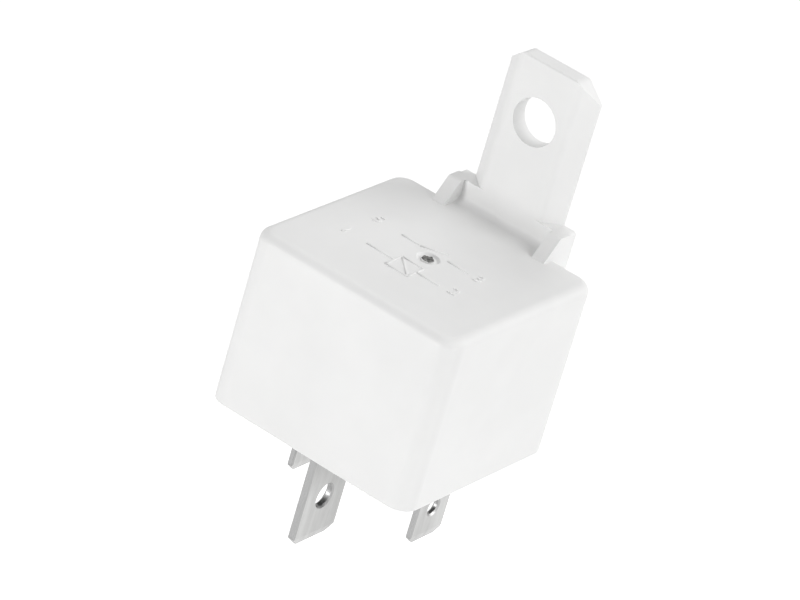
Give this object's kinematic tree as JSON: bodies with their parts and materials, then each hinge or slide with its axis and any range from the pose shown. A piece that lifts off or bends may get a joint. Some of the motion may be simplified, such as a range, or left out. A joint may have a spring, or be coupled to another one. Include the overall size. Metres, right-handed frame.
{
  "type": "automotive relay",
  "caption": "Plug-in automotive relay: a pale square cover with a moulded screw bracket, flat blade terminals below, and a working coil, hinged armature and contact inside",
  "frame": {"origin": "Middle of the seating face: the plane of the cover's open end, midway across the cover's width and depth.", "axes": "+Z from the blades up towards the bracket's tip, +Y from the feed blade's side towards the side that carries the bracket, +X across the two coil blades, from 85 to 86."},
  "size_m": [0.029, 0.0321, 0.0565],
  "materials": {
    "cover_plastic": "fine satin moulding texture",
    "base_plastic": "dark glass-filled nylon",
    "resin": "self-levelled potting resin",
    "tinned_copper": "matt tin plate over copper",
    "magnet_steel": "annealed iron with a thin zinc flash",
    "bobbin_plastic": "natural polyester",
    "enamelled_wire": "enamelled copper wire, layer wound",
    "spring_bronze": "rolled spring bronze",
    "rivet_brass": "upset brass rivet heads",
    "contact_silver": "silver alloy"
  },
  "bodies": {
    "housing": {"cover": "cover_plastic", "base": "base_plastic", "sealing_resin": "resin", "terminal_30": "tinned_copper", "terminal_87": "tinned_copper", "terminal_85": "tinned_copper", "terminal_86": "tinned_copper", "yoke": "magnet_steel", "iron_core": "magnet_steel", "bobbin": "bobbin_plastic", "coil_winding": "enamelled_wire", "coil_lead_85": "enamelled_wire", "coil_lead_86": "enamelled_wire", "yoke_rivets": "rivet_brass", "fixed_contact": "contact_silver", "back_stop": "tinned_copper"},
    "armature": {"armature": "magnet_steel", "contact_spring": "spring_bronze", "armature_rivets": "rivet_brass", "moving_contact": "contact_silver"}
  },
  "joints": [
    {"name": "armature_hinge", "type": "hinge", "parent": "housing", "child": "armature", "pos_m": [0, -0.0112, 0.01651], "axis": [-1, 0, 0], "range_deg": [0, 3.4], "stiffness_Nm_per_rad": 0.02, "springref_deg": -11.46, "deforming": ["contact_spring"]}
  ]
}
